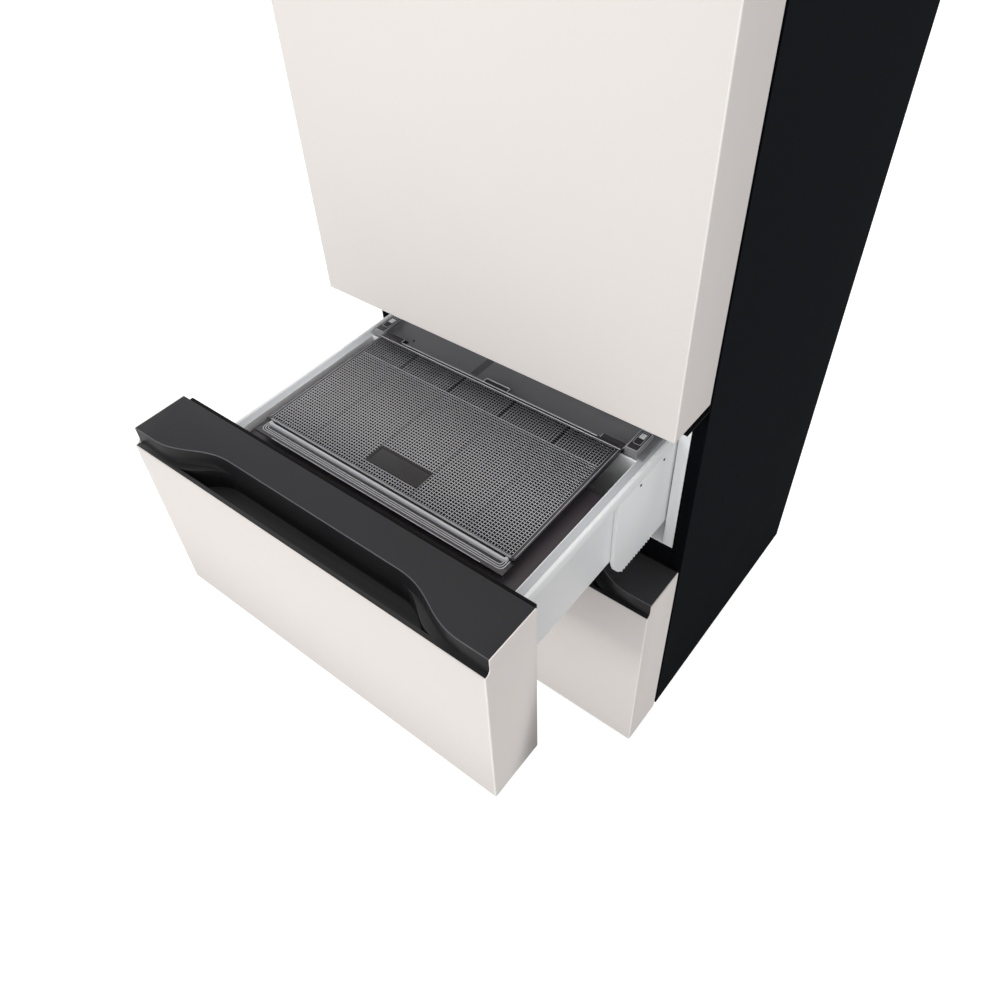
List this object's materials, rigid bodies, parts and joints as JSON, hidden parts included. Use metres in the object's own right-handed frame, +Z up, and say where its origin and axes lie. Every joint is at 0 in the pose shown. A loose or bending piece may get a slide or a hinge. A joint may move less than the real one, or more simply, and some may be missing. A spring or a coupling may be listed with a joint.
{
  "type": "kimchi refrigerator",
  "caption": "Stand-type kimchi refrigerator: hinged upper door over full-width drawers with cut-back dark grip caps, the middle drawer standing open.",
  "frame": {"origin": "on the floor, at the centre of the footprint of the pose in the picture: midway between the left and right sides, and midway between the open middle drawer's face and the cabinet's back", "axes": "+X to the refrigerator's right as seen from the front, +Y from the fronts towards the wall, +Z up"},
  "size_m": [0.666, 1.108, 1.86],
  "materials": {
    "black_steel": "satin",
    "zinc_steel": "satin",
    "cream_steel": "satin",
    "dark_plastic": "matte",
    "white_plastic": "satin",
    "rubber": "matte",
    "smoked_plastic": "gloss",
    "tub_plastic": "satin",
    "glass": "gloss",
    "foam": "matte",
    "aluminium": "satin",
    "compressor_steel": "satin",
    "gear_plastic": "matte"
  },
  "bodies": {
    "cabinet": {"cabinet_shell": "black_steel", "back_panel": "zinc_steel", "base_pan": "zinc_steel", "insulation_foam": "foam", "upper_liner": "white_plastic", "middle_liner": "white_plastic", "lower_liner": "white_plastic", "upper_crossbeam": "black_steel", "lower_crossbeam": "black_steel", "top_hinge": "zinc_steel", "middle_hinge": "zinc_steel", "hinge_cover": "dark_plastic", "compressor": "compressor_steel", "condenser": "aluminium", "drain_pan": "dark_plastic", "machine_cover": "zinc_steel", "power_inlet": "rubber", "evaporator_cover": "white_plastic", "evaporator": "aluminium", "upper_shelf_1": "glass", "upper_shelf_2": "glass", "middle_rail_left": "zinc_steel", "middle_rail_right": "zinc_steel", "lower_rail_left": "zinc_steel", "lower_rail_right": "zinc_steel"},
    "door": {"door_panel": "cream_steel", "door_liner": "white_plastic", "door_grip": "dark_plastic", "door_gasket": "rubber", "door_bin_1": "white_plastic", "door_bin_2": "white_plastic"},
    "middle_drawer": {"middle_front_panel": "cream_steel", "middle_front_cap": "dark_plastic", "middle_inner_panel": "white_plastic", "middle_gasket": "rubber", "middle_box": "white_plastic", "rear_plate": "smoked_plastic", "tub_left": "tub_plastic", "tub_right": "tub_plastic", "tub_lid_left": "tub_plastic", "tub_lid_right": "tub_plastic"},
    "drawer_lid": {"mesh_lid": "smoked_plastic", "lid_label_plate": "dark_plastic"},
    "middle_carriages": {"middle_carriage_left": "white_plastic", "middle_carriage_right": "white_plastic"},
    "middle_pinions": {"middle_pinion_shaft": "gear_plastic"},
    "lower_drawer": {"lower_front_panel": "cream_steel", "lower_front_cap": "dark_plastic", "lower_inner_panel": "white_plastic", "lower_gasket": "rubber", "lower_box": "white_plastic"},
    "lower_carriages": {"lower_carriage_left": "white_plastic", "lower_carriage_right": "white_plastic"},
    "lower_pinions": {"lower_pinion_shaft": "gear_plastic"},
    "evaporator_fan": {"circulation_fan": "dark_plastic"},
    "machine_fan": {"condenser_fan": "dark_plastic"},
    "left_foot": {"front_foot_left": "dark_plastic"},
    "right_foot": {"front_foot_right": "dark_plastic"},
    "left_roller": {"rear_roller_left": "dark_plastic"},
    "right_roller": {"rear_roller_right": "dark_plastic"}
  },
  "joints": [
    {"name": "door_hinge", "type": "hinge", "parent": "cabinet", "child": "door", "pos_m": [0.321, -0.082, 1.354], "axis": [0, 0, 1], "range_deg": [0, 120]},
    {"name": "middle_drawer_slide", "type": "slide", "parent": "cabinet", "child": "middle_drawer", "axis": [0, -1, 0], "range_m": [-0.416, 0]},
    {"name": "middle_carriage_slide", "type": "slide", "parent": "cabinet", "child": "middle_carriages", "axis": [0, -1, 0], "range_m": [-0.208, 0]},
    {"name": "middle_pinion_turn", "type": "hinge", "parent": "cabinet", "child": "middle_pinions", "pos_m": [0, 0.054, 0.56888], "axis": [1, 0, 0], "range_deg": [-828, 0]},
    {"name": "drawer_lid_hinge", "type": "hinge", "parent": "middle_drawer", "child": "drawer_lid", "pos_m": [0, -0.1087, 0.7925], "axis": [-1, 0, 0], "range_deg": [0, 60]},
    {"name": "lower_drawer_slide", "type": "slide", "parent": "cabinet", "child": "lower_drawer", "axis": [0, -1, 0], "range_m": [0, 0.416]},
    {"name": "lower_carriage_slide", "type": "slide", "parent": "cabinet", "child": "lower_carriages", "axis": [0, -1, 0], "range_m": [0, 0.208]},
    {"name": "lower_pinion_turn", "type": "hinge", "parent": "cabinet", "child": "lower_pinions", "pos_m": [0, 0.054, 0.20588], "axis": [1, 0, 0], "range_deg": [0, 828]},
    {"name": "circulation_fan_spin", "type": "hinge", "parent": "cabinet", "child": "evaporator_fan", "pos_m": [0, 0.4474, 1.658], "axis": [0, 1, 0], "continuous": true},
    {"name": "condenser_fan_spin", "type": "hinge", "parent": "cabinet", "child": "machine_fan", "pos_m": [0.002, 0.4255, 0.1035], "axis": [1, 0, 0], "continuous": true},
    {"name": "left_foot_turn", "type": "hinge", "parent": "cabinet", "child": "left_foot", "pos_m": [-0.27, 0.022, 0.03], "axis": [0, 0, 1], "range_deg": [0, 1080]},
    {"name": "right_foot_turn", "type": "hinge", "parent": "cabinet", "child": "right_foot", "pos_m": [0.27, 0.022, 0.03], "axis": [0, 0, 1], "range_deg": [0, 1080]},
    {"name": "left_roller_spin", "type": "hinge", "parent": "cabinet", "child": "left_roller", "pos_m": [-0.27, 0.501, 0.014], "axis": [1, 0, 0], "continuous": true},
    {"name": "right_roller_spin", "type": "hinge", "parent": "cabinet", "child": "right_roller", "pos_m": [0.27, 0.501, 0.014], "axis": [1, 0, 0], "continuous": true}
  ],
  "couplings": [
    {"joint": "middle_carriage_slide", "follows": "middle_drawer_slide", "ratio": 0.5},
    {"joint": "middle_pinion_turn", "follows": "middle_drawer_slide", "rad_per_m": 34.722},
    {"joint": "lower_carriage_slide", "follows": "lower_drawer_slide", "ratio": 0.5},
    {"joint": "lower_pinion_turn", "follows": "lower_drawer_slide", "rad_per_m": 34.722}
  ]
}
